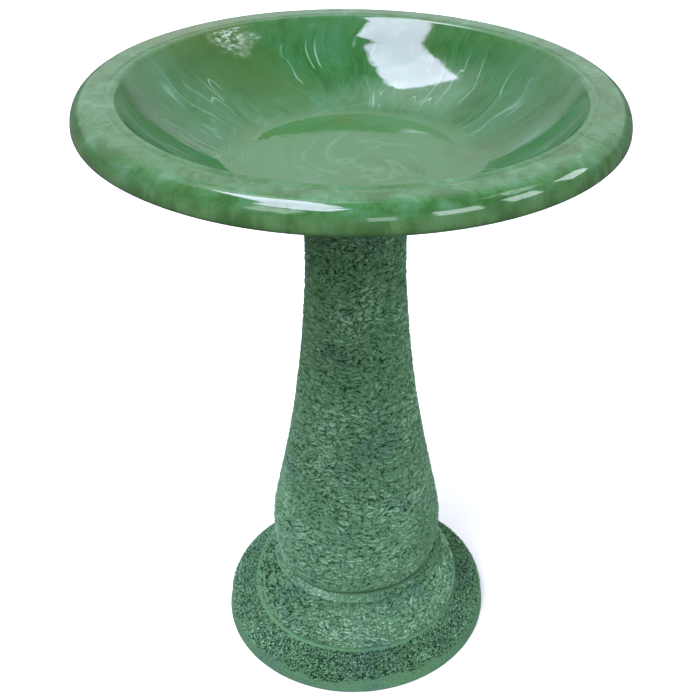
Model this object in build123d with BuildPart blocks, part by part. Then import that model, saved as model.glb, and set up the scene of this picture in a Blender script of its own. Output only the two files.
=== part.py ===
from build123d import *
import os
from math import atan2, cos, degrees, hypot, radians, sin

# Pedestal bird bath: a glazed bowl that locks onto a textured column with a
# short turn, on a stepped round base.
# Millimetres, +Z up, origin on the ground at the middle of the base.

# ---------------------------------------------------------------- driving sizes
overall_height = 610.0
bowl_radius = 240.0
base_radius = 144.0
ground_gap = 1.5            # the base rim stands this far off the ground, on its feet

# bowl
floor_radius = 110.0        # edge of the shallow floor
floor_centre_z = 540.0
floor_edge_z = 543.5
wall_start_angle = 16.0     # slope of the wall where it leaves the floor, degrees
lip_start = (200.6, 607.5)  # the wall rolls over into the rim from here
lip_top = (205.5, overall_height)
shell = 9.0                 # bowl wall thickness
rim_flat_z = overall_height - 0.6
bead_foot = (208.6, rim_flat_z - 0.5)       # a fine bead and groove run round the rim's inner edge
groove_bottom = (209.4, rim_flat_z - 0.8)
groove_edge = (210.4, rim_flat_z - 0.1)
rim_flat_radius = bowl_radius - 15.0
rim_widest_z = 589.5
rim_bottom_z = 585.0
skirt_foot_radius = 231.5
skirt_top_radius = 229.5
gutter_radius = 209.5       # inner edge of the hollow under the rim
outside_wall_cut = 3.0      # the outside of the wall stops this many degrees short of the lip
boss_radius = 52.0
boss_draft = 1.5
boss_bottom_z = 522.0

# twist lock between bowl and column
lug_count = 3
lug_half_angle = 20.0
lock_turn = 40.0            # turn from entry to locked, degrees
spigot_radius = 26.0
spigot_bore_radius = 20.0
spigot_bottom_z = 507.0
lug_radius = 32.2
lug_low_z = 508.2
lug_high_z = 515.2
spigot_flange_radius = 42.0
flange_thickness = 4.0
ring_bore_radius = 26.3
notch_half_angle = 22.0
chamber_radius = 32.8
chamber_wall_radius = 36.0
chamber_low_z = 503.5
ring_flange_radius = 46.0
stop_gap_angle = 1.0
seat_thickness = 2.5
seat_inner_radius = 33.5
seat_outer_radius = 51.0
tab_height = 2.0
tab_circle_radius = 38.0
tab_radius = 2.0

# column
column_top_z = boss_bottom_z - seat_thickness
column_wall = 8.0
column_outline = [          # radius and height, up the bulge and the taper to the neck
    (84.0, 88.0),
    (89.2, 122.0),
    (83.4, 165.0),
    (76.0, 200.0),
    (61.8, 280.0),
    (55.2, 330.0),
    (50.5, 380.0),
    (47.6, 425.0),
    (47.0, 455.0),
]
column_mouth = (55.0, 514.0)     # the neck flares out to here under the bowl
column_lip = (54.6, 517.9)       # middle of the rounding at the top edge
column_rim = (51.5, column_top_z)
column_shoulder_z = 84.4
column_shoulder_radius = 81.5
foot_spigot_radius = 78.0
foot_flange_top_z = 90.0
foot_opening_radius = 58.0
neck_flange_low_z = 503.0

# base, from the ground up: side band, plinth top, fine step, cushion, collar
side_top = (140.8, 20.5)
plinth_start = (138.2, 22.9)
plinth_end = (114.6, 25.6)
step_bead_end = (111.2, 27.6)
step_groove_end = (110.3, 30.0)
cushion_middle = (107.3, 54.7)
cushion_end = (91.4, 73.6)
collar_foot = (90.6, 75.6)
collar_middle = (89.6, 80.8)
collar_crest = (84.6, 83.6)
plinth_edge_radius = 2.7
step_bead_radius = 2.2
step_groove_radius = 1.6
collar_groove_radius = 1.4
deck_top_z = 76.0
deck_thickness = 10.0
deck_low_z = deck_top_z - deck_thickness
deck_opening_radius = 52.0
recess_top_z = 82.6
fit_gap = 0.4
base_rim_inner_radius = 126.0
base_inside = [             # underside, from the deck out to the rim
    (77.0, deck_low_z),
    (97.0, 46.0),
    (101.5, 16.5),
    (124.0, 13.5),
]

# fasteners and feet
m4_radius = 2.0
m4_head_radius = 4.0
m4_insert_radius = 3.0
m4_insert_length = 7.0
m4_length = 11.0
m4_count = 3
ring_screw_circle = 40.5
spigot_screw_circle = 35.0
m6_radius = 3.0
m6_hole_radius = 3.3
m6_insert_radius = 4.0
m6_insert_length = 10.0
m6_across_flats = 10.0
m6_head_height = 4.0
m6_length = 20.0
m6_count = 3
foot_bolt_circle = 67.5
washer_radius = 8.0
washer_thickness = 1.6
foot_count = 4
foot_radius = 7.0
foot_thickness = 3.0
foot_circle = 135.0

os.makedirs("parts", exist_ok=True)


def save(piece, name):
    piece.part.label = name
    export_step(piece.part, f"parts/{name}.step")


def ring_sector(inner, outer, middle_angle, half_angle):
    """Outline of a piece of a ring, between two radii and two angles."""
    start = middle_angle - half_angle
    end = middle_angle + half_angle
    near = CenterArc((0, 0), inner, start, 2 * half_angle)
    far = CenterArc((0, 0), outer, start, 2 * half_angle)
    Line(near @ 0, far @ 0)
    Line(near @ 1, far @ 1)


def lug_angles(offset=0.0):
    return [offset + 360.0 * i / lug_count for i in range(lug_count)]


# ---------------------------------------------------------------- bowl
# The inside wall is one arc. The outside of the shell is an arc about the same centre.
wall_run = lip_start[0] - floor_radius
wall_rise = lip_start[1] - floor_edge_z
wall_chord_angle = degrees(atan2(wall_rise, wall_run))
wall_turn = 2 * (wall_chord_angle - wall_start_angle)
wall_arc_radius = hypot(wall_run, wall_rise) / (2 * sin(radians(wall_turn / 2)))
wall_centre = (
    floor_radius - wall_arc_radius * sin(radians(wall_start_angle)),
    floor_edge_z + wall_arc_radius * cos(radians(wall_start_angle)),
)
rim_underside_z = rim_flat_z - shell
edge_rounding = 1.2

with BuildPart() as bowl:
    with BuildSketch(Plane.XZ):
        with BuildLine():
            dish = TangentArc((0, floor_centre_z), (floor_radius, floor_edge_z), tangent=(1, 0))
            wall = CenterArc(wall_centre, wall_arc_radius, wall_start_angle - 90, wall_turn)
            lip = TangentArc(wall @ 1, lip_top, tangent=wall % 1)
            TangentArc(lip @ 1, bead_foot, tangent=lip % 1)
            ThreePointArc(bead_foot, groove_bottom, groove_edge)
            Line(groove_edge, (rim_flat_radius, rim_flat_z))
            EllipticalCenterArc(
                (rim_flat_radius, rim_widest_z),
                bowl_radius - rim_flat_radius,
                rim_flat_z - rim_widest_z,
                start_angle=0,
                arc_size=90,
            )
            heel_radius = rim_widest_z - rim_bottom_z
            heel = CenterArc((bowl_radius - heel_radius, rim_widest_z), heel_radius, 0, -90)
            outside = CenterArc(
                wall_centre,
                wall_arc_radius + shell,
                wall_start_angle - 90,
                wall_turn - outside_wall_cut,
            )
            FilletPolyline(
                heel @ 1,
                (skirt_foot_radius, rim_bottom_z),
                (skirt_top_radius, rim_underside_z),
                (gutter_radius, rim_underside_z),
                outside @ 1,
                radius=edge_rounding,
            )
            FilletPolyline(
                outside @ 0,
                (boss_radius + boss_draft, floor_centre_z - shell),
                (boss_radius, boss_bottom_z),
                (0, boss_bottom_z),
                radius=edge_rounding,
            )
            Line((0, boss_bottom_z), dish @ 0)
        make_face()
    revolve(axis=Axis.Z)
    # recess for the spigot's flange, and the holes for its inserts
    with BuildSketch(Plane.XY.offset(boss_bottom_z)):
        Circle(spigot_flange_radius + 0.2)
    extrude(amount=flange_thickness, mode=Mode.SUBTRACT)
    with BuildSketch(Plane.XY.offset(boss_bottom_z + flange_thickness)):
        with PolarLocations(spigot_screw_circle, m4_count, start_angle=60):
            Circle(m4_insert_radius)
    extrude(amount=m4_insert_length, mode=Mode.SUBTRACT)
save(bowl, "bowl")

# ---------------------------------------------------------------- spigot under the bowl
with BuildPart() as lock_spigot:
    with BuildSketch(Plane.XY.offset(boss_bottom_z)):
        Circle(spigot_flange_radius)
        Circle(spigot_bore_radius, mode=Mode.SUBTRACT)
        with PolarLocations(spigot_screw_circle, m4_count, start_angle=60):
            Circle(m4_radius + 0.2, mode=Mode.SUBTRACT)
    extrude(amount=flange_thickness)
    with BuildSketch(Plane.XY.offset(spigot_bottom_z)):
        Circle(spigot_radius)
        Circle(spigot_bore_radius, mode=Mode.SUBTRACT)
    extrude(amount=boss_bottom_z - spigot_bottom_z)
    chamfer(edges().group_by(Axis.Z)[0].sort_by(SortBy.RADIUS)[-1], length=0.8)
    for angle in lug_angles():
        with BuildSketch(Plane.XY.offset(lug_low_z)):
            with BuildLine():
                ring_sector(spigot_radius - 1, lug_radius, angle, lug_half_angle)
            make_face()
        extrude(amount=lug_high_z - lug_low_z)
    # seats for the screw heads, and pockets for the seat ring's drive tabs
    with Locations(Plane.XY.offset(boss_bottom_z)):
        with PolarLocations(spigot_screw_circle, m4_count, start_angle=60):
            Cone(
                m4_head_radius + 0.1,
                m4_radius + 0.1,
                m4_head_radius - m4_radius,
                align=(Align.CENTER, Align.CENTER, Align.MIN),
                mode=Mode.SUBTRACT,
            )
    with BuildSketch(Plane.XY.offset(boss_bottom_z)):
        with PolarLocations(tab_circle_radius, lug_count):
            Circle(tab_radius + 0.4)
    extrude(amount=tab_height + 0.6, mode=Mode.SUBTRACT)
save(lock_spigot, "lock_spigot")

# ---------------------------------------------------------------- seat ring
with BuildPart() as seat_ring:
    with BuildSketch(Plane.XY.offset(column_top_z)):
        Circle(seat_outer_radius)
        Circle(seat_inner_radius, mode=Mode.SUBTRACT)
    extrude(amount=seat_thickness)
    with BuildSketch(Plane.XY.offset(boss_bottom_z)):
        with PolarLocations(tab_circle_radius, lug_count):
            Circle(tab_radius)
    extrude(amount=tab_height)
save(seat_ring, "seat_ring")

# ---------------------------------------------------------------- lock ring in the column
# The lugs drop through three notches into the chamber, turn under the plate and meet
# a stop at each end of the turn.
stop_half_angle = (360.0 / lug_count - 2 * lug_half_angle - lock_turn) / 2 - stop_gap_angle
stop_middle_angle = lug_half_angle + lock_turn + stop_gap_angle + stop_half_angle
ring_plate_low_z = column_top_z - flange_thickness

with BuildPart() as lock_ring:
    with BuildSketch(Plane.XY.offset(ring_plate_low_z)):
        Circle(ring_flange_radius)
        Circle(ring_bore_radius, mode=Mode.SUBTRACT)
        with PolarLocations(ring_screw_circle, m4_count, start_angle=60):
            Circle(m4_radius + 0.2, mode=Mode.SUBTRACT)
    extrude(amount=flange_thickness)
    chamfer(edges().group_by(Axis.Z)[0].sort_by(SortBy.RADIUS)[-1], length=0.6)
    for angle in lug_angles():
        with BuildSketch(Plane.XY.offset(ring_plate_low_z)):
            with BuildLine():
                ring_sector(ring_bore_radius - 1, chamber_radius, angle, notch_half_angle)
            make_face()
        extrude(amount=flange_thickness, mode=Mode.SUBTRACT)
    with BuildSketch(Plane.XY.offset(chamber_low_z)):
        Circle(chamber_wall_radius)
        Circle(chamber_radius, mode=Mode.SUBTRACT)
    extrude(amount=ring_plate_low_z - chamber_low_z)
    for angle in lug_angles(stop_middle_angle):
        with BuildSketch(Plane.XY.offset(chamber_low_z)):
            with BuildLine():
                ring_sector(ring_bore_radius + 0.4, chamber_radius + 1, angle, stop_half_angle)
            make_face()
        extrude(amount=ring_plate_low_z - chamber_low_z)
    with Locations(Plane.XY.offset(column_top_z)):
        with PolarLocations(ring_screw_circle, m4_count, start_angle=60):
            Cone(
                m4_radius + 0.1,
                m4_head_radius + 0.1,
                m4_head_radius - m4_radius,
                align=(Align.CENTER, Align.CENTER, Align.MAX),
                mode=Mode.SUBTRACT,
            )
save(lock_ring, "lock_ring")

# ---------------------------------------------------------------- column
with BuildPart() as column:
    with BuildSketch(Plane.XZ):
        with BuildLine():
            skin = Spline(*column_outline)
            TangentArc(skin @ 1, column_mouth, tangent=skin % 1)
            roll = TangentArc(skin @ 0, (column_shoulder_radius, column_shoulder_z), tangent=-(skin % 0))
            inside_points = [(radius - column_wall, z) for radius, z in column_outline[1:]]
            inside_start = (column_outline[0][0] - column_wall, foot_flange_top_z)
            inside = Spline(inside_start, *inside_points)
            inside_top = (inside @ 1).X, neck_flange_low_z
            FilletPolyline(
                roll @ 1,
                (foot_spigot_radius, column_shoulder_z),
                (foot_spigot_radius, deck_top_z),
                (foot_opening_radius, deck_top_z),
                (foot_opening_radius, foot_flange_top_z),
                inside_start,
                radius=0.8,
            )
            FilletPolyline(
                inside @ 1,
                inside_top,
                (chamber_wall_radius + 0.2, neck_flange_low_z),
                (chamber_wall_radius + 0.2, ring_plate_low_z),
                (ring_flange_radius + 0.2, ring_plate_low_z),
                (ring_flange_radius + 0.2, column_top_z),
                column_rim,
                radius=0.4,
            )
            ThreePointArc(column_rim, column_lip, column_mouth)
        make_face()
    revolve(axis=Axis.Z)
    with BuildSketch(Plane.XY.offset(ring_plate_low_z)):
        with PolarLocations(ring_screw_circle, m4_count, start_angle=60):
            Circle(m4_insert_radius)
    extrude(amount=-m4_insert_length - 1, mode=Mode.SUBTRACT)
    with BuildSketch(Plane.XY.offset(deck_top_z)):
        with PolarLocations(foot_bolt_circle, m6_count, start_angle=90):
            Circle(m6_insert_radius)
    extrude(amount=m6_insert_length, mode=Mode.SUBTRACT)
save(column, "column")

# ---------------------------------------------------------------- base
recess_radius = foot_spigot_radius + fit_gap

with BuildPart() as base:
    with BuildSketch(Plane.XZ):
        with BuildLine():
            Line((base_radius, ground_gap), side_top)
            RadiusArc(side_top, plinth_start, -plinth_edge_radius)
            Line(plinth_start, plinth_end)
            RadiusArc(plinth_end, step_bead_end, -step_bead_radius)
            RadiusArc(step_bead_end, step_groove_end, step_groove_radius)
            ThreePointArc(step_groove_end, cushion_middle, cushion_end)
            RadiusArc(cushion_end, collar_foot, collar_groove_radius)
            ThreePointArc(collar_foot, collar_middle, collar_crest)
            FilletPolyline(
                collar_crest,
                (recess_radius, recess_top_z),
                (recess_radius, deck_top_z),
                (deck_opening_radius, deck_top_z),
                (deck_opening_radius, deck_low_z),
                *base_inside,
                (base_rim_inner_radius, ground_gap),
                radius=0.5,
            )
            Line((base_rim_inner_radius, ground_gap), (base_radius, ground_gap))
        make_face()
    revolve(axis=Axis.Z)
    with BuildSketch(Plane.XY.offset(deck_low_z)):
        with PolarLocations(foot_bolt_circle, m6_count, start_angle=90):
            Circle(m6_hole_radius)
    extrude(amount=deck_thickness, mode=Mode.SUBTRACT)
    with BuildSketch(Plane.XY.offset(ground_gap)):
        with PolarLocations(foot_circle, foot_count, start_angle=45):
            Circle(foot_radius + 0.1)
    extrude(amount=foot_thickness - ground_gap, mode=Mode.SUBTRACT)
save(base, "base")

# ---------------------------------------------------------------- feet
with BuildPart() as rubber_feet:
    with BuildSketch():
        with PolarLocations(foot_circle, foot_count, start_angle=45):
            Circle(foot_radius)
    extrude(amount=foot_thickness)
    chamfer(edges().group_by(Axis.Z)[0], length=0.5)
save(rubber_feet, "rubber_feet")


# ---------------------------------------------------------------- threaded inserts
def inserts(low_z, length, circle, count, start_angle, outer, inner):
    """Plain brass sleeves moulded into a flange."""
    with BuildPart() as sleeves:
        with BuildSketch(Plane.XY.offset(low_z)):
            with PolarLocations(circle, count, start_angle=start_angle):
                Circle(outer)
                Circle(inner, mode=Mode.SUBTRACT)
        extrude(amount=length)
    return sleeves


spigot_inserts = inserts(
    boss_bottom_z + flange_thickness, m4_insert_length, spigot_screw_circle, m4_count, 60,
    m4_insert_radius, m4_radius,
)
save(spigot_inserts, "spigot_inserts")

lock_ring_inserts = inserts(
    ring_plate_low_z - m4_insert_length, m4_insert_length, ring_screw_circle, m4_count, 60,
    m4_insert_radius, m4_radius,
)
save(lock_ring_inserts, "lock_ring_inserts")

foot_inserts = inserts(
    deck_top_z, m6_insert_length, foot_bolt_circle, m6_count, 90,
    m6_insert_radius, m6_radius,
)
save(foot_inserts, "foot_inserts")


# ---------------------------------------------------------------- screws and bolts
def countersunk_screws(face_z, direction, circle):
    """Three M4 countersunk screws with a cross recess, heads flush with face_z."""
    head_depth = m4_head_radius - m4_radius
    faces_down = direction > 0
    with BuildPart() as screws:
        with BuildSketch(Plane.XY.offset(face_z)):
            with PolarLocations(circle, m4_count, start_angle=60):
                Circle(m4_radius)
        extrude(amount=direction * m4_length)
        with Locations(Plane.XY.offset(face_z)):
            with PolarLocations(circle, m4_count, start_angle=60):
                Cone(
                    m4_head_radius if faces_down else m4_radius,
                    m4_radius if faces_down else m4_head_radius,
                    head_depth,
                    align=(Align.CENTER, Align.CENTER, Align.MIN if faces_down else Align.MAX),
                )
        with BuildSketch(Plane.XY.offset(face_z)):
            with PolarLocations(circle, m4_count, start_angle=60):
                Rectangle(4.4, 0.9)
                Rectangle(0.9, 4.4)
        extrude(amount=direction * 1.2, mode=Mode.SUBTRACT)
    return screws


spigot_screws = countersunk_screws(boss_bottom_z, 1, spigot_screw_circle)
save(spigot_screws, "spigot_screws")

lock_ring_screws = countersunk_screws(column_top_z, -1, ring_screw_circle)
save(lock_ring_screws, "lock_ring_screws")

bolt_face_z = deck_low_z - washer_thickness

with BuildPart() as foot_washers:
    with BuildSketch(Plane.XY.offset(bolt_face_z)):
        with PolarLocations(foot_bolt_circle, m6_count, start_angle=90):
            Circle(washer_radius)
            Circle(m6_hole_radius, mode=Mode.SUBTRACT)
    extrude(amount=washer_thickness)
save(foot_washers, "foot_washers")

with BuildPart() as foot_bolts:
    with BuildSketch(Plane.XY.offset(bolt_face_z - m6_head_height)):
        with PolarLocations(foot_bolt_circle, m6_count, start_angle=90):
            RegularPolygon(m6_across_flats / 2, 6, major_radius=False)
    extrude(amount=m6_head_height)
    chamfer(faces().group_by(Axis.Z)[0].edges(), length=0.5)
    with BuildSketch(Plane.XY.offset(bolt_face_z)):
        with PolarLocations(foot_bolt_circle, m6_count, start_angle=90):
            Circle(m6_radius)
    extrude(amount=m6_length)
save(foot_bolts, "foot_bolts")
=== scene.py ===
import math

import bpy
import numpy as np
from mathutils import Matrix, Vector


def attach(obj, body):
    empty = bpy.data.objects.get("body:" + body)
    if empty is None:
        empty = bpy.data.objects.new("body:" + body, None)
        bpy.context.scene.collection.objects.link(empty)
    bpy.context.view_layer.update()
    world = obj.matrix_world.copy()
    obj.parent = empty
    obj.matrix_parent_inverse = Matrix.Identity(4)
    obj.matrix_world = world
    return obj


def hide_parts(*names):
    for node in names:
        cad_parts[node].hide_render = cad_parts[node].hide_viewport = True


# Pedestal bird bath: a glossy marbled bowl on a matt column and base with a
# hammered, bark-like relief. Metres, +Z up, origin on the ground.

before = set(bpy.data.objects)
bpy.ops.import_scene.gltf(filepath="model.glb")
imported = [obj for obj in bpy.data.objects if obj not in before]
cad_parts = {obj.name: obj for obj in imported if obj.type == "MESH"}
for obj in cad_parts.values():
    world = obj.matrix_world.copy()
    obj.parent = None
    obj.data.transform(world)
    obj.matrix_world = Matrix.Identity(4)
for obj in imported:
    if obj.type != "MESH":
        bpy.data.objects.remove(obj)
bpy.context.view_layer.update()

MM = 0.001
rng = np.random.default_rng(2207)


# ------------------------------------------------------------------ outlines
# the side that an arc bulges to, seen along its way
LEFT, RIGHT = 1, -1


def arc_points(centre, start, sweep, count):
    """Points on a circle about centre, beginning at the point start."""
    start = np.asarray(start, float)
    centre = np.asarray(centre, float)
    spoke = start - centre
    angles = np.linspace(0.0, sweep, count + 1)
    turned_x = spoke[0] * np.cos(angles) - spoke[1] * np.sin(angles)
    turned_y = spoke[0] * np.sin(angles) + spoke[1] * np.cos(angles)
    return np.stack([centre[0] + turned_x, centre[1] + turned_y], 1)


def three_point_arc(a, m, b, count):
    """Arc from a through m to b."""
    a, m, b = (np.asarray(p, float) for p in (a, m, b))
    matrix = 2 * np.array([m - a, b - a])
    centre = np.linalg.solve(matrix, [m @ m - a @ a, b @ b - a @ a])
    first = math.atan2(*(a - centre)[::-1])
    middle = (math.atan2(*(m - centre)[::-1]) - first) % math.tau
    last = (math.atan2(*(b - centre)[::-1]) - first) % math.tau
    sweep = last if middle < last else last - math.tau
    return arc_points(centre, a, sweep, count)


def tangent_arc(a, direction, b, count):
    """Arc that leaves a along direction and ends at b, and the direction there."""
    a, b = np.asarray(a, float), np.asarray(b, float)
    t = np.asarray(direction, float) / np.hypot(*direction)
    chord = b - a
    normal = np.array([-t[1], t[0]])
    radius = chord @ chord / (2 * normal @ chord)
    centre = a + normal * radius
    half = math.atan2(normal @ chord, t @ chord)
    end = np.array([
        t[0] * math.cos(2 * half) - t[1] * math.sin(2 * half),
        t[0] * math.sin(2 * half) + t[1] * math.cos(2 * half),
    ])
    return arc_points(centre, a, 2 * half, count), end


def bulging_arc(a, b, radius, side, count):
    """Arc of that radius from a to b, bulging to its LEFT or RIGHT."""
    a, b = np.asarray(a, float), np.asarray(b, float)
    chord = b - a
    length = np.hypot(*chord)
    left = np.array([-chord[1], chord[0]]) / length
    sagitta = radius - math.sqrt(radius ** 2 - (length / 2) ** 2)
    return three_point_arc(a, (a + b) / 2 + left * side * sagitta, b, count)


def line_points(a, b, count):
    """Straight line from a to b in count steps."""
    steps = np.linspace(0, 1, count + 1)[:, None]
    return np.asarray(a, float) * (1 - steps) + np.asarray(b, float) * steps


def smooth_curve(knots, count):
    """Natural cubic spline through the knots, as a function of arc chord."""
    knots = np.asarray(knots, float)
    at = np.concatenate([[0], np.cumsum(np.hypot(*np.diff(knots, axis=0).T))])
    n = len(knots)
    gap = np.diff(at)
    system = np.eye(n)
    rhs = np.zeros((n, 2))
    slope = np.diff(knots, axis=0) / gap[:, None]
    for i in range(1, n - 1):
        system[i, i - 1:i + 2] = gap[i - 1], 2 * (gap[i - 1] + gap[i]), gap[i]
        rhs[i] = 6 * (slope[i] - slope[i - 1])
    second = np.linalg.solve(system, rhs)
    where = np.linspace(0, at[-1], count + 1)
    k = np.clip(np.searchsorted(at, where, side="right") - 1, 0, n - 2)
    left = (where - at[k])[:, None]
    right = (at[k + 1] - where)[:, None]
    g = gap[k][:, None]
    return (
        second[k] * right ** 3 / (6 * g) + second[k + 1] * left ** 3 / (6 * g)
        + (knots[k] / g - second[k] * g / 6) * right
        + (knots[k + 1] / g - second[k + 1] * g / 6) * left
    )


def join(*parts):
    """One polyline from several that follow on from each other."""
    points = [np.asarray(parts[0], float)]
    for part in parts[1:]:
        part = np.asarray(part, float)
        if np.hypot(*(part[0] - points[-1][-1])) < 1e-6:
            part = part[1:]
        points.append(part)
    return np.concatenate(points)


def path(start, *stops):
    """Lines and arcs from start through the stops.

    A stop is its r, its z and the number of steps on the way to it. For an arc, the arc's
    radius and the side it bulges to follow.
    """
    parts = []
    for r, z, count, *bulge in stops:
        if bulge:
            radius, side = bulge
            parts.append(bulging_arc(start, (r, z), radius, side, count))
        else:
            parts.append(line_points(start, (r, z), count))
        start = (r, z)
    return join(*parts)


# ------------------------------------------------------------------ noise
# a power of two, so that a cell's place can be wrapped into it with a bit mask
kinds = 256
table = np.tile(rng.permutation(kinds), 3)
slopes = rng.normal(size=(kinds, 3))
slopes /= np.linalg.norm(slopes, axis=1)[:, None]
jitters = rng.uniform(0.08, 0.92, size=(kinds, 3))
levels = rng.uniform(-1, 1, size=(kinds, 3))


def hashed(i, j, k):
    """Which of the random kinds the cell i, j, k is."""
    mask = kinds - 1
    return table[table[table[i & mask] + (j & mask)] + (k & mask)]


def gradient_noise(p):
    """Smooth noise about zero, mostly between -1 and 1, in cells of size 1."""
    cell = np.floor(p).astype(np.int64)
    f = p - cell
    w = f * f * f * (f * (f * 6 - 15) + 10)
    total = np.zeros(len(p))
    for corner in np.ndindex(2, 2, 2):
        c = cell + corner
        slope = slopes[hashed(c[:, 0], c[:, 1], c[:, 2])]
        near = np.where(np.array(corner), w, 1 - w).prod(1)
        total += near * ((f - corner) * slope).sum(1)
    return total * 1.6


def layered_noise(p, octaves, gain=0.5):
    """Gradient noise with finer and weaker layers added to it."""
    total = np.zeros(len(p))
    size = 1.0
    for octave in range(octaves):
        total += size * gradient_noise(p * 2 ** octave + 17.3 * octave)
        size *= gain
    return total


def cell_noise(p):
    """Distance to the border between a point's cell and the next, and three random
    levels of the cell."""
    cell = np.floor(p).astype(np.int64)
    first = np.full(len(p), 9.0)
    second = np.full(len(p), 9.0)
    owner = np.zeros(len(p), np.int64)
    for offset in np.ndindex(3, 3, 3):
        c = cell + np.array(offset) - 1
        h = hashed(c[:, 0], c[:, 1], c[:, 2])
        distance = np.linalg.norm(c + jitters[h] - p, axis=1)
        nearer = distance < first
        second = np.where(nearer, first, np.minimum(second, distance))
        owner = np.where(nearer, h, owner)
        first = np.where(nearer, distance, first)
    return second - first, levels[owner]


def smooth_step(low, high, value):
    """0 at low and 1 at high, with a smooth rise between them. low may be above high."""
    t = np.clip((value - low) / (high - low), 0, 1)
    return t * t * (3 - 2 * t)


# ------------------------------------------------------------------ turned meshes
class Turned:
    """A surface of revolution as a grid of points.

    Its rows follow the outline (given in mm) and its columns run round the axis. lift is how
    far each point is moved along the outline's normal.
    """

    def __init__(self, outline, segments):
        self.outline = np.asarray(outline, float) * MM
        self.segments = segments
        step = np.gradient(self.outline, axis=0)
        step /= np.linalg.norm(step, axis=1)[:, None]
        self.normal = np.stack([step[:, 1], -step[:, 0]], 1)
        rows = len(self.outline)
        theta = np.arange(segments) * math.tau / segments
        self.row = np.repeat(np.arange(rows), segments)
        self.theta = np.tile(theta, rows)
        self.r = self.outline[self.row, 0]
        self.z = self.outline[self.row, 1]
        self.lift = np.zeros(rows * segments)

    def points(self):
        """Where the lifted points are, in metres."""
        r = self.r + self.lift * self.normal[self.row, 0]
        z = self.z + self.lift * self.normal[self.row, 1]
        return np.stack([r * np.cos(self.theta), r * np.sin(self.theta), z], 1)

    def skin(self, around, along):
        """Coordinates for noise in cells of that size round the surface and up it."""
        return np.stack([
            self.r * np.cos(self.theta) / (around * MM),
            self.r * np.sin(self.theta) / (around * MM),
            self.z / (along * MM),
        ], 1)

    def build(self, name, closed, values=None):
        """closed joins the last row to the first; otherwise both ends meet on the axis."""
        n = self.segments
        rows = len(self.outline)
        around = np.arange(n)
        beyond = (around + 1) % n
        lower = np.arange(rows if closed else rows - 1)
        if not closed:
            lower = lower[1:-1]
        upper = (lower + 1) % rows
        quads = np.stack([
            lower[:, None] * n + around, lower[:, None] * n + beyond,
            upper[:, None] * n + beyond, upper[:, None] * n + around,
        ], 2).reshape(-1, 4)
        co = self.points()
        if closed:
            caps = np.zeros((0, 3), int)
        else:
            # the first and last rows shrink to one point each on the axis
            co = co[n:-n]
            quads = quads - n
            start, end = len(co), len(co) + 1
            tips = [[0, 0, self.outline[0, 1]], [0, 0, self.outline[-1, 1]]]
            co = np.concatenate([co, tips])
            rim = (rows - 3) * n
            caps = np.concatenate([
                np.stack([np.full(n, start), beyond, around], 1),
                np.stack([np.full(n, end), rim + around, rim + beyond], 1),
            ])
        corners = np.concatenate([quads.ravel(), caps.ravel()]).astype(np.int32)
        sizes = np.concatenate([np.full(len(quads), 4), np.full(len(caps), 3)])
        starts = np.concatenate([[0], np.cumsum(sizes)[:-1]]).astype(np.int32)
        mesh = bpy.data.meshes.new(name)
        mesh.vertices.add(len(co))
        mesh.vertices.foreach_set("co", co.ravel())
        mesh.loops.add(len(corners))
        mesh.loops.foreach_set("vertex_index", corners)
        mesh.polygons.add(len(sizes))
        mesh.polygons.foreach_set("loop_start", starts)
        mesh.update(calc_edges=True)
        mesh.validate()
        for label, value in (values or {}).items():
            layer = mesh.attributes.new(label, "FLOAT", "POINT")
            layer.data.foreach_set("value", value.astype(np.float32))
        mesh.shade_smooth()
        piece = bpy.data.objects.new(name, mesh)
        bpy.context.scene.collection.objects.link(piece)
        return piece


# ------------------------------------------------------------------ bowl
floor_middle, floor_edge = (0.0, 540.0), (110.0, 543.5)
lip_start, lip_top = (200.6, 607.5), (205.5, 609.7)
groove_start, groove_end = (208.8, 609.0), (210.4, 609.2)
shell = 9.0
wall_slope = math.radians(16)
wall_rise = math.atan2(lip_start[1] - floor_edge[1], lip_start[0] - floor_edge[0])
wall_sweep = 2 * (wall_rise - wall_slope)
wall_chord = math.hypot(lip_start[0] - floor_edge[0], lip_start[1] - floor_edge[1])
wall_radius = wall_chord / (2 * math.sin(wall_sweep / 2))
wall_centre = (
    floor_edge[0] - wall_radius * math.sin(wall_slope),
    floor_edge[1] + wall_radius * math.cos(wall_slope),
)
wall_end = wall_slope + wall_sweep

dish, _ = tangent_arc(floor_middle, (1, 0), floor_edge, 22)
wall = arc_points(wall_centre, floor_edge, wall_sweep, 40)
# the glaze fills the corner between floor and wall a little
corner_in, corner_out = dish[-4], wall[3]
corner_bend = bulging_arc(corner_in, corner_out, 95.0, RIGHT, 10)
dish, wall = dish[:-3], wall[3:]
wall_way = (math.cos(wall_end), math.sin(wall_end))
lip, lip_way = tangent_arc(lip_start, wall_way, lip_top, 6)
bead, _ = tangent_arc(lip_top, lip_way, groove_start, 5)
groove = three_point_arc(groove_start, (209.5, 608.85), groove_end, 4)
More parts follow.
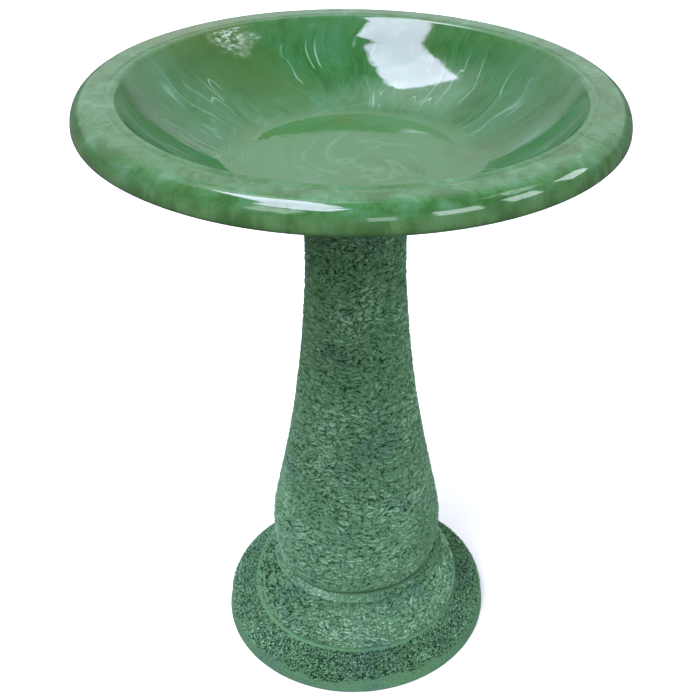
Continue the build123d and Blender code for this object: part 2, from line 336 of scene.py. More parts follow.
# the rolled rim: a quarter of an ellipse outside, and a quarter of a circle under it
nose_middle, nose_width, nose_height = (225.0, 589.5), 14.8, 19.7
nose_angles = np.linspace(math.pi / 2, 0, 29)
nose = np.stack([
    nose_middle[0] + nose_width * np.cos(nose_angles),
    nose_middle[1] + nose_height * np.sin(nose_angles),
], 1)
heel = arc_points((235.3, 589.5), (239.8, 589.5), -math.pi / 2, 8)
short_of_rim = math.radians(3)
outside_start = (
    wall_centre[0] + (wall_radius + shell) * math.sin(wall_end - short_of_rim),
    wall_centre[1] - (wall_radius + shell) * math.cos(wall_end - short_of_rim),
)
outside = arc_points(wall_centre, outside_start, -(wall_sweep - short_of_rim), 22)
under_rim = path(
    (235.3, 585.0), (232.4, 585.0, 2), (231.3, 586.4, 3, 1.3, LEFT), (229.7, 599.2, 6),
    (228.4, 600.4, 3, 1.3, LEFT), (211.5, 600.4, 8), (*outside_start, 4),
)
boss = path(
    outside[-1], (55.5, 531.1, 10), (53.3, 529.4, 3, 1.5, LEFT), (52.2, 523.4, 4),
    (50.8, 522.0, 3, 1.5, RIGHT), (42.2, 522.0, 3), (42.2, 526.0, 2), (0, 526.0, 6),
)
bowl_outline = join(
    dish, corner_bend, wall, lip, bead, groove, path(groove_end, (225, 609.2, 7)),
    nose, heel, under_rim, outside, boss,
)
bowl = Turned(bowl_outline, 480)
# rows run from the axis out, so the outline's left side is the outside of the material
bowl.normal *= -1
# the rim and the upper wall are very slightly wavy
wave_height = 0.12 * MM
wavy_above = 584.5 * MM
waviness = layered_noise(bowl.skin(70, 70), 2)
bowl.lift = wave_height * np.clip(waviness, -1, 1) * (bowl.z > wavy_above)
glazed_bowl = bowl.build("glazed_bowl", closed=False)
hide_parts("bowl")
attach(glazed_bowl, "basin")


# ------------------------------------------------------------------ relief
crease_width = 0.22
# painted shade in the creases: how much darker a crease is painted than its depth alone would
# make it
crease_painted_shade = 0.45


def billow(p):
    """Rounded pillows with sharp creases between them, where a gradient noise changes sign."""
    return 1 - np.exp(-np.abs(gradient_noise(p)) / crease_width)


def spread(height):
    """The same relief as even shares of the surface, from 0, its deepest, to 1, its highest."""
    share = np.empty(len(height))
    share[np.argsort(height)] = np.linspace(0, 1, len(height))
    return share


def levelled(height):
    """The relief scaled to lie mostly between 0 and 1, with its mean at a half."""
    return np.clip(0.5 + (height - height.mean()) / (4.2 * height.std()), -0.1, 1.1)


def stirring(p, step):
    """Three independent noises at each point, to push noise coordinates about."""
    return np.stack([gradient_noise(p + step * i) for i in range(1, 4)], 1)


def bark(surface, around, along, slope):
    """Crumpled relief of long flakes that run round the surface at changing slants.

    around and along are the flakes' size in mm, and slope is how steeply they slant. Returns
    the relief, mostly between 0 and 1, and how deep in a crease each point is.
    """
    drift = surface.skin(50, 50)
    slant = np.stack([
        0.8 * layered_noise(drift + 3.1, 2),
        0.8 * layered_noise(drift + 11.7, 2),
        slope * layered_noise(drift * 0.9 + 23.9, 2),
    ], 1)
    p = surface.skin(around, along) + slant
    p += 0.5 * stirring(surface.skin(0.8 * around, 1.6 * along), 5.0)
    large, middle = billow(p + 9.0), billow(1.9 * p + 40.0)
    small, broad = billow(3.7 * p + 70.0), billow(0.55 * p + 3.0)
    relief = 0.30 * large * (1 + middle) + 0.30 * middle + 0.22 * small + 0.18 * broad
    return levelled(relief), np.maximum((1 - large) ** 2, 0.8 * (1 - middle) ** 2)


def pebbles(surface, size):
    """Small rounded grains of that size in mm, with sharp gaps."""
    p = surface.skin(size, size)
    p += 0.5 * stirring(0.6 * p, 7.0)
    edge, level = cell_noise(p)
    grains = 1 - np.exp(-edge / 0.25)
    return grains * (0.8 + 0.2 * level[:, 0]) + 0.5 * billow(1.2 * p + 30.0)


# ------------------------------------------------------------------ column
column_knots = [
    (84.0, 88.0), (89.2, 122.0), (83.4, 165.0), (76.0, 200.0), (61.8, 280.0),
    (55.2, 330.0), (50.5, 380.0), (47.6, 425.0), (47.0, 455.0),
]
skin_line = smooth_curve(column_knots, 640)
top_way = skin_line[-1] - skin_line[-2]
flare, _ = tangent_arc(skin_line[-1], top_way, (55.0, 514.0), 100)
column_lip = three_point_arc((55.0, 514.0), (54.6, 517.9), (51.5, 519.5), 8)
roll, _ = tangent_arc(skin_line[0], skin_line[0] - skin_line[1], (81.5, 84.4), 8)
column_wall = 8.0
inside_knots = [(76.0, 90.0)] + [(r - column_wall, z) for r, z in column_knots[1:]]
inside_line = smooth_curve(inside_knots, 24)
outer_line = join(roll[::-1], skin_line, flare, column_lip)
mouth = path(
    (51.5, 519.5), (46.2, 519.5, 2), (46.2, 515.5, 1), (36.2, 515.5, 2), (36.2, 503.0, 2),
    (39.0, 503.0, 1), (*inside_line[-1], 3),
)
foot = path(
    (76.0, 90.0), (58.0, 90.0, 2), (58.0, 76.0, 2), (78.0, 76.0, 2), (78.0, 84.4, 1),
    (81.2, 84.4, 1),
)
column = Turned(join(outer_line, mouth, inside_line[::-1], foot), 880)
column_height = column.z / MM
on_skin = column.row < len(outer_line) - 2
column_relief, column_crease = bark(column, around=8.8, along=3.3, slope=3.0)
# the relief ends raggedly above the foot, and fades out below the mouth
above_foot = smooth_step(86.5, 92.5, column_height + 1.5 * gradient_noise(column.skin(9, 9)))
below_mouth = 1 - smooth_step(509.0, 515.0, column_height)
column_depth = 2.9 * MM
column.lift = column_depth * above_foot * below_mouth * on_skin * (column_relief - 0.5)
# on its left the foot spreads a little over the collar, and the crack below it nearly closes
foot_spread = 2.4 * MM
spread_opposite = math.radians(40)
left_side = smooth_step(0.74, 0.97, 0.5 - 0.5 * np.cos(column.theta - spread_opposite))
column.lift += foot_spread * left_side * smooth_step(99.0, 86.0, column_height) * on_skin
grain = gradient_noise(column.skin(2.2, 1.8))
# the tone stored as the relief attribute: partly the glaze's own darker hollows and paler high
# points, partly painted shade in the creases and hollows and painted highlight on the crests; a
# plain grain on the foot
column_shade = (
    spread(column_relief - crease_painted_shade * column_crease) * above_foot
    + (0.40 + 0.14 * grain) * (1 - above_foot)
)
textured_column = column.build("textured_column", closed=True, values={"relief": column_shade})
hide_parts("column")
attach(textured_column, "pedestal")

# ------------------------------------------------------------------ base
cushion_foot, cushion_top = (110.3, 30.0), (91.4, 73.6)
collar_foot, collar_top = (90.6, 75.6), (84.6, 83.6)
# the side band, its rounded edge, the plinth's top, and the bead and groove of the step
plinth = path(
    (144.0, 1.5), (140.8, 20.5, 26), (138.2, 22.9, 5, 2.7, RIGHT), (114.6, 25.6, 38),
    (111.2, 27.6, 6, 2.2, RIGHT), (*cushion_foot, 5, 1.6, LEFT),
)
cushion = three_point_arc(cushion_foot, (107.3, 54.7), cushion_top, 84)
collar_groove = bulging_arc(cushion_top, collar_foot, 1.4, LEFT, 4)
collar = three_point_arc(collar_foot, (89.6, 80.8), collar_top, 18)
top_line = join(plinth, cushion, collar_groove, collar)
# the seat of the column's foot, then the hollow underside
underside = path(
    collar_top, (78.8, 82.6, 3), (78.4, 82.0, 1), (78.4, 76.0, 2), (52.0, 76.0, 4),
    (52.0, 66.0, 3), (77.0, 66.0, 4), (97.0, 46.0, 5), (101.5, 16.5, 5), (124.0, 13.5, 4),
    (126.0, 1.5, 3), (143.7, 1.5, 4),
)
base = Turned(join(top_line, underside), 1100)
height = base.z / MM
outward = base.r / MM
top_rows = base.row < len(top_line) - 1
ragged = gradient_noise(base.skin(9, 9))
on_cushion = smooth_step(29.5, 32.5, height + ragged) * (outward > 83.5) * top_rows
# a soft groove parts the collar from the cushion, and the relief is shallower in and above it
groove_height, groove_width, groove_depth = 74.5, 2.0, 0.7
in_groove = np.exp(-((height - groove_height) / groove_width) ** 2) * (outward > 85)
collar_share = smooth_step(75.0, 77.0, height)
on_cushion = on_cushion * (1 - 0.55 * in_groove) * (1 - 0.2 * collar_share)
# the pebbles spill unevenly over the plinth's edge on to the side band
on_plinth = smooth_step(112.6, 114.4, outward + 0.8 * ragged) * (height < 28.5) * top_rows
spill = smooth_step(13.0, 16.5, height + 5.0 * layered_noise(base.skin(24, 24), 3, 0.7))
on_plinth = on_plinth * (0.10 + 0.90 * spill)
cushion_relief, cushion_crease = bark(base, around=7.0, along=4.0, slope=2.4)
plinth_relief = levelled(pebbles(base, 2.7))
cushion_depth, plinth_depth, unevenness = 2.8, 2.2, 0.10
base.lift = MM * (
    on_cushion * cushion_depth * (cushion_relief - 0.5)
    + on_plinth * plinth_depth * (plinth_relief - 0.5)
    + unevenness * gradient_noise(base.skin(6, 6)) * top_rows
    - groove_depth * in_groove * top_rows
)
# the foot of the side band stays almost on its outline
base.lift = np.minimum(base.lift, np.where(height > 5, np.inf, 0.4 * MM))
grain = gradient_noise(base.skin(2.2, 2.2))
grain = 0.6 * grain + 0.5 * gradient_noise(base.skin(1.4, 4.0) + 50.0)
plain = np.clip(1 - on_cushion - on_plinth, 0, 1)
# the tone stored as the relief attribute: on the cushion partly the glaze's own and partly
# painted shade in the creases and painted highlight on the crests, painted shade in the gaps
# between the plinth's pebbles, and a plain grain elsewhere
base_shade = (
    on_cushion * spread(cushion_relief - crease_painted_shade * cushion_crease)
    + on_plinth * (1.15 * spread(plinth_relief) - 0.25)
    + plain * (0.37 + 0.20 * grain)
)


def near_bearing(degrees, spread_degrees):
    """1 at a bearing round the base, falling off to either side.

    Bearings are in degrees: 270 is the front and 180 the left.
    """
    off = (np.degrees(base.theta) - degrees + 180) % 360 - 180
    return np.exp(-(off / spread_degrees) ** 2)


# painted light and shade by side: painted shade on the cushion's left side and painted light on
# its front, a painted lit place on the collar's front left with painted shade to its right; also
# a slightly darker plinth front, and painted shade in the groove
on_collar = collar_share * on_cushion
below_collar = on_cushion * (1 - on_collar)
base_shade -= 0.24 * near_bearing(190, 34) * below_collar
base_shade += on_collar * (0.50 * near_bearing(248, 24) - 0.18 * near_bearing(305, 30))
base_shade += 0.10 * near_bearing(275, 25) * below_collar
base_shade -= 0.08 * near_bearing(270, 35) * on_plinth + 0.16 * in_groove * top_rows
textured_base = base.build("textured_base", closed=True, values={"relief": base_shade})
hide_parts("base")
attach(textured_base, "pedestal")


# ------------------------------------------------------------------ node graphs
class Graph:
    """Short names for the shader nodes used below.

    A value may be a number, a colour or a socket.
    """

    def __init__(self, tree):
        """Starts from an empty tree."""
        self.tree = tree
        tree.nodes.clear()

    def node(self, kind, inputs=None, **settings):
        """A node with those settings. An input that is None stays as it is."""
        made = self.tree.nodes.new(kind)
        for key, value in settings.items():
            setattr(made, key, value)
        for key, value in (inputs or {}).items():
            if value is None:
                continue
            if isinstance(value, bpy.types.NodeSocket):
                self.tree.links.new(value, made.inputs[key])
            else:
                made.inputs[key].default_value = value
        return made

    def maths(self, operation, a, b=None):
        inputs = {0: a} if b is None else {0: a, 1: b}
        return self.node("ShaderNodeMath", inputs, operation=operation).outputs[0]

    def product(self, first, *others):
        """All the values multiplied together."""
        result = first
        for other in others:
            result = self.maths("MULTIPLY", result, other)
        return result

    def vector(self, operation, a, b=None):
        inputs = {0: a} if b is None else {0: a, 1: b}
        return self.node("ShaderNodeVectorMath", inputs, operation=operation)

    def scale(self, vector, factors):
        return self.vector("MULTIPLY", vector, factors).outputs[0]

    def shift(self, vector, offsets):
        return self.vector("ADD", vector, offsets).outputs[0]

    def noise(self, vector, scale, detail=2.0, roughness=0.5, distortion=0.0):
        inputs = {
            "Vector": vector, "Scale": scale, "Detail": detail,
            "Roughness": roughness, "Distortion": distortion,
        }
        return self.node("ShaderNodeTexNoise", inputs)

    def swing(self, noise, amount):
        """A noise about a half as an offset to either side of zero."""
        return self.maths("MULTIPLY", self.maths("SUBTRACT", noise, 0.5), amount)

    def remap(self, value, low, high, out_low=0.0, out_high=1.0):
        """Smooth step from out_low at low to out_high at high. low may be above high."""
        inputs = {0: value, 1: low, 2: high, 3: out_low, 4: out_high}
        return self.node("ShaderNodeMapRange", inputs, interpolation_type="SMOOTHSTEP").outputs[0]

    def between(self, value, low, low_full, high_full, high):
        """1 from low_full to high_full, falling to 0 at low and at high."""
        return self.product(self.remap(value, low, low_full), self.remap(value, high, high_full))

    def mix(self, factor, a, b, blend="MIX"):
        made = self.node("ShaderNodeMix", data_type="RGBA", blend_type=blend)
        for socket, value in ((made.inputs[0], factor), (made.inputs[6], a), (made.inputs[7], b)):
            if isinstance(value, bpy.types.NodeSocket):
                self.tree.links.new(value, socket)
            elif isinstance(value, tuple):
                socket.default_value = (*value, 1.0)[:4]
            else:
                socket.default_value = value
        return made.outputs[2]

    def combined(self, x, y, z):
        return self.node("ShaderNodeCombineXYZ", {0: x, 1: y, 2: z}).outputs[0]

    def bump(self, height, strength, distance, normal=None):
        inputs = {"Height": height, "Strength": strength, "Distance": distance, "Normal": normal}
        return self.node("ShaderNodeBump", inputs).outputs[0]


def new_material(name):
    """A material, its graph and its shader, which is already linked to the output."""
    material = bpy.data.materials.new(name)
    material.use_nodes = True
    graph = Graph(material.node_tree)
    shader = graph.node("ShaderNodeBsdfPrincipled")
    output = graph.node("ShaderNodeOutputMaterial")
    graph.tree.links.new(shader.outputs[0], output.inputs[0])
    return material, graph, shader


def feed(graph, shader, **sockets):
    """Links or sets the shader's own sockets."""
    names = {
        "base_color": "Base Color", "roughness": "Roughness", "normal": "Normal",
        "metallic": "Metallic", "specular": "Specular IOR Level", "ior": "IOR",
    }
    for key, value in sockets.items():
        socket = shader.inputs[names[key]]
        if isinstance(value, bpy.types.NodeSocket):
            graph.tree.links.new(value, socket)
        elif isinstance(value, tuple):
            socket.default_value = (*value, 1.0)[:4]
        else:
            socket.default_value = value


# ------------------------------------------------------------------ glaze
def glaze_material():
    """Glossy marbled glaze. Radii and heights in it are in metres."""
    material, g, shader = new_material("marbled_glaze")
    place = g.node("ShaderNodeTexCoord").outputs["Object"]
    parts = g.node("ShaderNodeSeparateXYZ", {0: place})
    x, y, z = parts.outputs
    radius = g.maths("SQRT", g.maths("ADD", g.product(x, x), g.product(y, y)))
    off_axis = g.maths("MAXIMUM", radius, 0.004)
    # streaks down the wall: fine round the bowl, long up and down it
    round_x = g.maths("DIVIDE", x, off_axis)
    round_y = g.maths("DIVIDE", y, off_axis)
    spoke = g.combined(round_x, round_y, g.product(radius, 4.0))
    wobble = g.shift(g.noise(place, 9.0, 2.0).outputs["Color"], (-0.5, -0.5, -0.5))
    spoke = g.shift(spoke, g.scale(wobble, (0.30, 0.30, 0.8)))
    streak = g.noise(spoke, 5.5, 7.0, 0.62, 0.25).outputs[0]
    brush = g.noise(g.scale(spoke, (1.0, 1.0, 0.3)), 60.0, 4.0, 0.65).outputs[0]
    # swirls on the floor, stirred round the middle
    twist = {"Vector": place, "Center": (0.02, 0.0, 0.54), "Angle": g.product(radius, 22.0)}
    stirred = g.node("ShaderNodeVectorRotate", twist, rotation_type="Z_AXIS").outputs[0]
    stirred = g.shift(stirred, g.scale(wobble, (0.06, 0.06, 0.02)))
    swirl = g.noise(g.scale(stirred, (1.0, 2.4, 1.0)), 12.0, 6.0, 0.60, 0.6).outputs[0]
    # cloudy mottling on the rim
    drifting = g.shift(place, g.scale(wobble, (0.04, 0.04, 0.04)))
    cloud = g.noise(drifting, 48.0, 6.0, 0.70, 0.4).outputs[0]
    on_floor = g.remap(radius, 0.135, 0.085)
    on_rim = g.remap(radius, 0.190, 0.207)
    calm = g.maths("ADD", g.swing(swirl, 0.55), 0.51)
    streak = g.maths("ADD", streak, g.swing(brush, 0.50))
    pattern = g.mix(on_floor, streak, calm)
    cloud = g.maths("ADD", g.product(cloud, 1.45), -0.225)
    pattern = g.mix(on_rim, pattern, cloud)
    dark, mid = (0.025, 0.089, 0.021), (0.037, 0.124, 0.034)
    blue, pale = (0.044, 0.136, 0.055), (0.088, 0.196, 0.094)
    colour = g.mix(g.remap(pattern, 0.34, 0.50), dark, mid)
    colour = g.mix(g.remap(pattern, 0.48, 0.62), colour, blue)
    colour = g.mix(g.product(g.remap(pattern, 0.58, 0.74), 0.6), colour, pale)
    # olive patches, most of them at the back
    olive = g.noise(g.shift(place, (0.40, 0.06, 0.2)), 8.0, 4.0).outputs[0]
    olive = g.product(g.remap(olive, 0.50, 0.66), g.remap(y, -0.05, 0.10, 0.25, 0.75))
    colour = g.mix(olive, colour, (0.050, 0.104, 0.022))
    # darker and greener on the wall
    darker_wall_band = g.between(radius, 0.100, 0.128, 0.186, 0.202)
    colour = g.mix(darker_wall_band, colour, g.mix(1.0, colour, (0.66, 0.86, 0.80), "MULTIPLY"))

    def lines(noise, width, strength, *masks):
        """Thin pale lines where the noise passes its middle."""
        off = g.maths("ABSOLUTE", g.maths("SUBTRACT", noise, 0.5))
        return g.product(g.remap(off, width, 0.0), strength, *masks)

    # drips down the wall, most of them at the back, and strands where they meet the floor
    patchy = g.noise(place, 12.0, 3.0).outputs[0]
    some = g.remap(patchy, 0.47, 0.56)
    at_back = g.remap(y, 0.03, 0.13, 0.35, 1.0)
    drip = g.noise(g.scale(spoke, (1.0, 1.0, 0.07)), 8.5, 2.0, 0.35).outputs[0]
    on_wall = g.between(radius, 0.112, 0.124, 0.175, 0.192)
    strand = g.noise(stirred, 17.0, 2.0, 0.45, 0.5).outputs[0]
    round_floor = g.between(radius, 0.090, 0.104, 0.118, 0.130)
    middle = g.remap(radius, 0.070, 0.045)
    thread_colour = (0.22, 0.36, 0.26)
    colour = g.mix(lines(drip, 0.016, 0.65, on_wall, at_back, some), colour, thread_colour)
    colour = g.mix(lines(strand, 0.020, 0.25, round_floor, at_back, some), colour, thread_colour)
    colour = g.mix(lines(strand, 0.030, 0.11, middle), colour, thread_colour)
    # the skirt below the rim is darker and more olive
    low = g.product(g.remap(z, 0.604, 0.592), on_rim)
    blotch = g.noise(g.scale(place, (1.0, 1.0, 0.4)), 42.0, 4.0, 0.6).outputs[0]
    skirt = g.mix(g.remap(blotch, 0.42, 0.58), (0.045, 0.110, 0.033), (0.090, 0.186, 0.068))
    colour = g.mix(g.product(low, 0.75), colour, skirt)
    # painted shade: the glaze is darkened in the groove round the rim
    in_groove = g.between(radius, 0.2078, 0.2088, 0.2100, 0.2107)
    colour = g.mix(g.product(in_groove, 0.12), colour, (0.02, 0.075, 0.03))
    ripple = g.noise(place, 26.0, 3.0, 0.5).outputs[0]
    # faint lines run round the rim, and break its highlights into streaks
    turning = g.combined(radius, z, g.product(round_x, 0.02))
    turning = g.shift(turning, g.scale(wobble, (0.004, 0.004, 0.0)))
    fine_turning = g.noise(turning, 300.0, 2.0, 0.6).outputs[0]
    ripple = g.maths("ADD", ripple, g.product(fine_turning, on_rim, 0.22))
    smear = g.noise(spoke, 9.0, 4.0).outputs[0]
    feed(
        g, shader, base_color=colour, roughness=g.remap(smear, 0.3, 0.8, 0.025, 0.10), ior=1.52,
        normal=g.bump(ripple, 0.25, 0.0008),
    )
    return material


# ------------------------------------------------------------------ stoneware
def stoneware_material():
    """Matt glaze, dark in the hollows of the relief and pale on its high points: partly its own
    colour, partly painted shade in the hollows and painted highlight on the crests.
    """
    material, g, shader = new_material("bark_stoneware")
    place = g.node("ShaderNodeTexCoord").outputs["Object"]
    # the relief attribute carries the tone set on the meshes, with its painted shade and painted
    # highlight
    relief = g.node("ShaderNodeAttribute", attribute_name="relief").outputs["Fac"]
    mottle = g.noise(place, 700.0, 3.0, 0.6).outputs[0]
    # handling and weather have left some places paler than others, and the same noise sets how
    # strong the painted highlight on the crests is
    broad = g.noise(g.shift(place, (0.3, 0.7, 0.1)), 17.0, 3.0, 0.6).outputs[0]
    fine = g.maths("ADD", relief, g.swing(mottle, 0.16))
    wear_and_highlight = g.maths("ADD", fine, g.swing(broad, 0.45))
    shaded = g.maths("ADD", fine, g.swing(broad, 0.12))
    patch = g.noise(place, 26.0, 4.0, 0.6).outputs[0]
    # a dark hollow colour for the glaze's patina and painted shade, and a pale crest colour for
    # its wear and painted highlight
    hollow_patina_and_shade, body = (0.007, 0.034, 0.014), (0.101, 0.234, 0.115)
    crest_wear_and_highlight, blue = (0.255, 0.435, 0.297), (0.086, 0.194, 0.130)
    body_mixed = g.mix(g.product(g.remap(patch, 0.52, 0.66), 0.75), body, blue)
    colour = g.mix(g.remap(shaded, 0.0, 0.44), hollow_patina_and_shade, body_mixed)
    crest_wear_and_highlight_amount = g.product(g.remap(wear_and_highlight, 0.60, 1.02), g.remap(broad, 0.38, 0.62, 0.45, 1.0))
    colour = g.mix(crest_wear_and_highlight_amount, colour, crest_wear_and_highlight)
    grit = g.noise(place, 1300.0, 2.0, 0.6).outputs[0]
    rough_grit = g.bump(grit, 0.35, 0.0004)
    feed(
        g, shader, base_color=colour, roughness=g.remap(wear_and_highlight, 0.2, 0.9, 0.85, 0.5),
        specular=0.28, normal=g.bump(relief, 1.0, 0.0015, rough_grit),
    )
    return material


# ------------------------------------------------------------------ hidden parts
def plastic_material(name, base, speckle):
    """Moulded plastic. speckle is how much paler its pale flecks are."""
    material, g, shader = new_material(name)
    place = g.node("ShaderNodeTexCoord").outputs["Object"]
    tone = g.noise(place, 60.0, 3.0).outputs[0]
    grain = g.noise(place, 1400.0, 2.0).outputs[0]
    light = tuple(min(1.0, c * speckle) for c in base)
    feed(
        g, shader, base_color=g.mix(tone, base, light),
        roughness=g.remap(tone, 0.3, 0.7, 0.42, 0.55),
        specular=0.45, normal=g.bump(grain, 0.25, 0.0002),
    )
    return material


def metal_material(name, base, roughness, lines):
    """Brushed or turned metal. lines stretches the brushing along an axis."""
    material, g, shader = new_material(name)
    place = g.node("ShaderNodeTexCoord").outputs["Object"]
    brushed = g.noise(g.scale(place, lines), 400.0, 3.0).outputs[0]
    tone = g.noise(place, 80.0, 2.0).outputs[0]
    dull = tuple(c * 0.72 for c in base)
    feed(
        g, shader, base_color=g.mix(tone, dull, base), metallic=1.0,
        roughness=g.remap(brushed, 0.3, 0.7, roughness, roughness + 0.15),
        normal=g.bump(brushed, 0.15, 0.0001),
    )
    return material


def rubber_material():
    """Dusty black rubber."""
    material, g, shader = new_material("foot_rubber")
    place = g.node("ShaderNodeTexCoord").outputs["Object"]
    dust = g.noise(place, 150.0, 4.0).outputs[0]
    grain = g.noise(place, 1800.0, 2.0).outputs[0]
    black, dusty = (0.018, 0.018, 0.018), (0.06, 0.06, 0.055)
    feed(
        g, shader, base_color=g.mix(g.remap(dust, 0.45, 0.75), black, dusty),
        roughness=g.remap(dust, 0.3, 0.7, 0.75, 0.9),
        specular=0.3, normal=g.bump(grain, 0.3, 0.0002),
    )
    return material


def give(piece, material):
    """Makes that the piece's only material."""
    piece.data.materials.clear()
    piece.data.materials.append(material)


stoneware = stoneware_material()
give(glazed_bowl, glaze_material())
give(textured_column, stoneware)
give(textured_base, stoneware)

black_plastic = plastic_material("moulded_black", (0.030, 0.034, 0.032), 1.6)
nylon = plastic_material("natural_nylon", (0.62, 0.60, 0.53), 1.1)
steel = metal_material("stainless_steel", (0.62, 0.61, 0.59), 0.28, (1.0, 1.0, 0.05))
brass = metal_material("turned_brass", (0.72, 0.52, 0.24), 0.25, (1.0, 1.0, 8.0))
finishes = {
    "lock_spigot": black_plastic, "lock_ring": black_plastic, "seat_ring": nylon,
    "spigot_screws": steel, "lock_ring_screws": steel, "foot_bolts": steel, "foot_washers": steel,
    "spigot_inserts": brass, "lock_ring_inserts": brass, "foot_inserts": brass,
    "rubber_feet": rubber_material(),
}
for node_name, finish in finishes.items():
    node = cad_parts[node_name]
    for material_slot in node.material_slots:
        material_slot.material = finish

# ------------------------------------------------------------------ floor
floor_mesh = bpy.data.meshes.new("studio_floor")
floor_half = 14.0
floor_corners = [
    (-floor_half, -floor_half, 0), (floor_half, -floor_half, 0),
    (floor_half, floor_half, 0), (-floor_half, floor_half, 0),
]
floor_mesh.from_pydata(floor_corners, [], [(0, 1, 2, 3)])
studio_floor = bpy.data.objects.new("studio_floor", floor_mesh)
bpy.context.scene.collection.objects.link(studio_floor)
floor_material, g, shader = new_material("pale_floor")
shade = g.noise(g.node("ShaderNodeTexCoord").outputs["Object"], 3.0, 2.0).outputs[0]
pale = g.mix(shade, (0.90, 0.90, 0.90), (0.93, 0.93, 0.925))
feed(g, shader, base_color=pale, roughness=0.9, specular=0.1)
floor_mesh.materials.append(floor_material)
studio_floor.visible_glossy = False
studio_floor.visible_diffuse = False
studio_floor.visible_shadow = False

# ------------------------------------------------------------------ light
world = bpy.data.worlds.new("soft_studio")
bpy.context.scene.world = world
world.use_nodes = True
g = Graph(world.node_tree)
direction = g.node("ShaderNodeTexCoord").outputs["Generated"]
_, back, up = g.node("ShaderNodeSeparateXYZ", {0: direction}).outputs
ragged_sky = g.noise(direction, 10.0, 9.0, 0.74, 0.3).outputs["Color"]
ragged_sky = g.shift(ragged_sky, (-0.5, -0.5, -0.5))
ragged_x, ragged_y, _ = g.node("ShaderNodeSeparateXYZ", {0: ragged_sky}).outputs


def window(azimuth, elevation, half_width, half_height, strength, ragged, soft):
    """Brightness of a bright opening in the surroundings.

    Azimuth is 0 along +Y and 90 along +X. Angles are in degrees. ragged is how far the edge
    wanders, and soft is how wide it is as a share of the half size.
    """
    a, e = math.radians(azimuth), math.radians(elevation)
    centre = Vector((math.sin(a) * math.cos(e), math.cos(a) * math.cos(e), math.sin(e)))
    level = Vector((math.cos(a), -math.sin(a), 0.0))
    aim = g.vector("DOT_PRODUCT", direction, tuple(centre)).outputs["Value"]
    ahead = g.maths("MAXIMUM", aim, 0.05)
    # nothing shines from the side opposite the opening
    lit = g.product(g.remap(aim, 0.0, 0.1), strength)
    upright = level.cross(centre)
    for axis, half, noise in ((level, half_width, ragged_x), (upright, half_height, ragged_y)):
        offset = g.vector("DOT_PRODUCT", direction, tuple(axis)).outputs["Value"]
        offset = g.maths("DIVIDE", offset, ahead)
        offset = g.maths("ABSOLUTE", g.maths("ADD", offset, g.product(noise, ragged)))
        edge = math.tan(math.radians(half))
        lit = g.product(g.remap(offset, edge * (1 + soft), edge * (1 - soft)), lit)
    return lit


def total(parts):
    """The sum of several windows."""
    result = parts[0]
    for part in parts[1:]:
        result = g.maths("ADD", result, part)
    return result


def tinted(brightness, tint):
    """A colour of that brightness and tint."""
    channels = {i: g.product(brightness, share) for i, share in enumerate(tint)}
    return g.node("ShaderNodeCombineColor", channels).outputs[0]


sky = g.maths(
    "MAXIMUM",
    window(-100, 74, 18, 10, 13.0, 0.10, 0.07),
    window(-148, 60, 12, 9, 13.0, 0.12, 0.07),
)
lamps = total([
    window(-45, 66, 16, 12, 2.2, 0.20, 0.8),
    window(-145, 38, 8, 10, 5.0, 0.30, 0.3),
    window(81, 24, 6, 8, 7.0, 0.05, 0.12),
    window(110, 24, 7, 8, 7.0, 0.05, 0.12),
    window(139, 24, 9, 8, 7.0, 0.05, 0.12),
    window(170, 20, 5, 6, 4.0, 0.05, 0.2),
])
leaves = g.remap(g.noise(direction, 34.0, 5.0, 0.7).outputs[0], 0.50, 0.56)
gaps = g.product(leaves, window(97, 47, 8, 7, 10.0, 0.35, 0.3))
clouds = g.remap(g.noise(direction, 5.0, 5.0, 0.6).outputs[0], 0.35, 0.65, 0.88, 1.05)
sky_light = tinted(g.product(sky, clouds), (0.98, 0.94, 1.28))
lamp_light = tinted(g.maths("ADD", lamps, gaps), (0.94, 1.0, 1.08))
glow = g.mix(1.0, sky_light, lamp_light, "ADD")
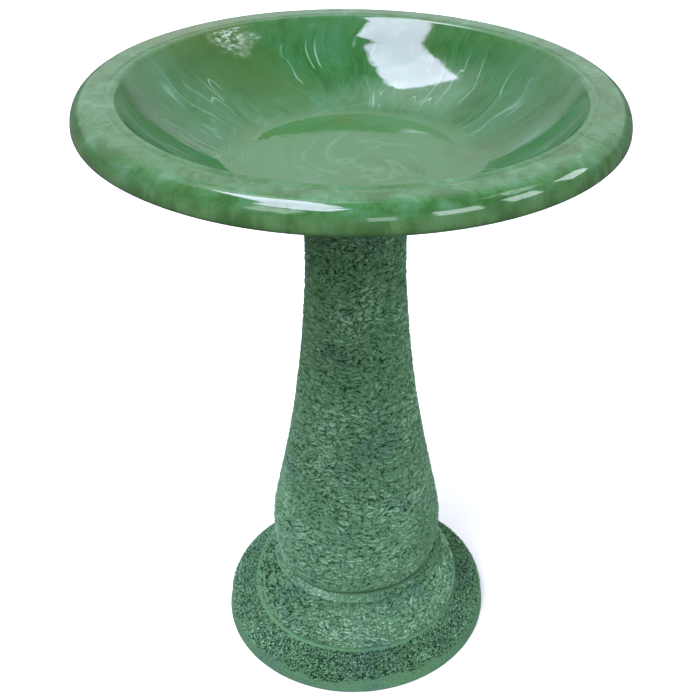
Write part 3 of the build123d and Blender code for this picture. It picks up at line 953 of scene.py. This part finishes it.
# dim surroundings: pale behind the object, dull in front of it and low down, and a little
# darker below the horizon
behind, around = (0.90, 0.90, 1.00), (0.26, 0.29, 0.27)
horizon, ground = (0.24, 0.27, 0.25), (0.20, 0.22, 0.21)
ambient = g.mix(g.remap(back, -0.1, 0.6), around, behind)
ambient = g.mix(g.remap(up, 0.06, 0.24), horizon, ambient)
ambient = g.mix(g.remap(up, -0.10, 0.02), ground, ambient)
background = g.node("ShaderNodeBackground", {0: g.mix(1.0, ambient, glow, "ADD"), 1: 1.0})
world_output = g.node("ShaderNodeOutputWorld")
g.tree.links.new(background.outputs[0], world_output.inputs[0])

# one large soft lamp in front, a little to the left, that brings out the relief
lamp_data = bpy.data.lights.new("soft_front", "AREA")
lamp_data.shape = "RECTANGLE"
lamp_data.size, lamp_data.size_y = 1.1, 0.7
lamp_data.energy = 15.5
lamp = bpy.data.objects.new("soft_front", lamp_data)
lamp_way = Vector((-0.28, -1.0, 0.78)).normalized()
lamp_aim, lamp_distance = Vector((0.0, 0.0, 0.25)), 2.3
lamp.location = lamp_aim + lamp_distance * lamp_way
lamp.rotation_mode = "QUATERNION"
lamp.rotation_quaternion = lamp_way.to_track_quat("Z", "Y")
lamp.visible_glossy = False
bpy.context.scene.collection.objects.link(lamp)

bpy.context.scene.view_settings.view_transform = "Standard"
bpy.context.scene.view_settings.look = "None"

# ------------------------------------------------------------------ camera
# radians: down, to the right, and about the line of sight
pitch, yaw, roll_angle = 0.5781, 0.0685, 0.0337
camera_place = (0.0, -0.9291, 0.9442)
forward = Vector((
    math.sin(yaw) * math.cos(pitch), math.cos(yaw) * math.cos(pitch), -math.sin(pitch),
))
level_right = Vector((math.cos(yaw), -math.sin(yaw), 0))
level_up = level_right.cross(forward)
right = math.cos(roll_angle) * level_right + math.sin(roll_angle) * level_up
upward = -math.sin(roll_angle) * level_right + math.cos(roll_angle) * level_up
turn = Matrix((right, upward, -forward)).transposed()
camera_data = bpy.data.cameras.new("camera")
camera_data.sensor_width = 36.0
camera_data.lens = 57.265
camera_data.shift_x = -0.1
camera_data.clip_end = 60.0
camera = bpy.data.objects.new("camera", camera_data)
camera.matrix_world = Matrix.Translation(camera_place) @ turn.to_4x4()
bpy.context.scene.collection.objects.link(camera)
bpy.context.scene.camera = camera
